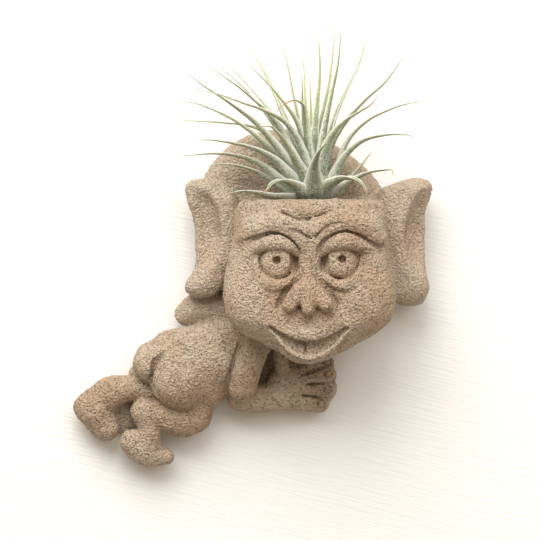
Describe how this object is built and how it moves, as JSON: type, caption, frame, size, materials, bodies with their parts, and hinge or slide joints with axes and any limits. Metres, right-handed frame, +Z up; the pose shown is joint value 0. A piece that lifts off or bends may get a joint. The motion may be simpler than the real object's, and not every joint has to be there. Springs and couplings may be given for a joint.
{
  "type": "air plant holder",
  "caption": "Wall-hung unglazed stoneware goblin lying on its front, with a hollow in the top of its head that holds an air plant, and a keyhole hanger on its back.",
  "frame": {"origin": "centre of the round entry of the keyhole in the hanger plate, on the wall plane", "axes": "+Z up, +Y into the wall that the figure hangs on, +X to the viewer's right"},
  "size_m": [0.137, 0.053, 0.1685],
  "materials": {
    "stoneware": "coarse unglazed buff stoneware, pitted",
    "leaf": null,
    "dry_stub": "dry, fibrous",
    "hanger_steel": "zinc plated sheet",
    "screw_steel": "zinc plated, countersunk",
    "plug_nylon": "moulded nylon"
  },
  "bodies": {
    "figure": {"head_pot": "stoneware", "left_eyeball": "stoneware", "right_eyeball": "stoneware", "left_upper_lid": "stoneware", "right_upper_lid": "stoneware", "left_lower_lid": "stoneware", "right_lower_lid": "stoneware", "left_brow": "stoneware", "right_brow": "stoneware", "frown_fold": "stoneware", "nose": "stoneware", "upper_lip": "stoneware", "lower_lip": "stoneware", "left_ear": "stoneware", "right_ear": "stoneware", "torso": "stoneware", "far_arm": "stoneware", "left_buttock": "stoneware", "right_buttock": "stoneware", "right_thigh": "stoneware", "right_calf": "stoneware", "right_foot": "stoneware", "left_calf": "stoneware", "left_foot": "stoneware", "upper_arm": "stoneware", "forearm": "stoneware", "finger_1": "stoneware", "finger_2": "stoneware", "finger_3": "stoneware", "finger_4": "stoneware", "thumb": "stoneware", "keyhole_hanger": "hanger_steel", "hanger_screws": "screw_steel", "screw_plugs": "plug_nylon"},
    "plant": {"leaf_rosette": "leaf", "root_stub": "dry_stub"}
  },
  "joints": [
    {"name": "plant_lift", "type": "slide", "parent": "figure", "child": "plant", "axis": [0, 0, 1], "range_m": [0, 0.06]}
  ]
}
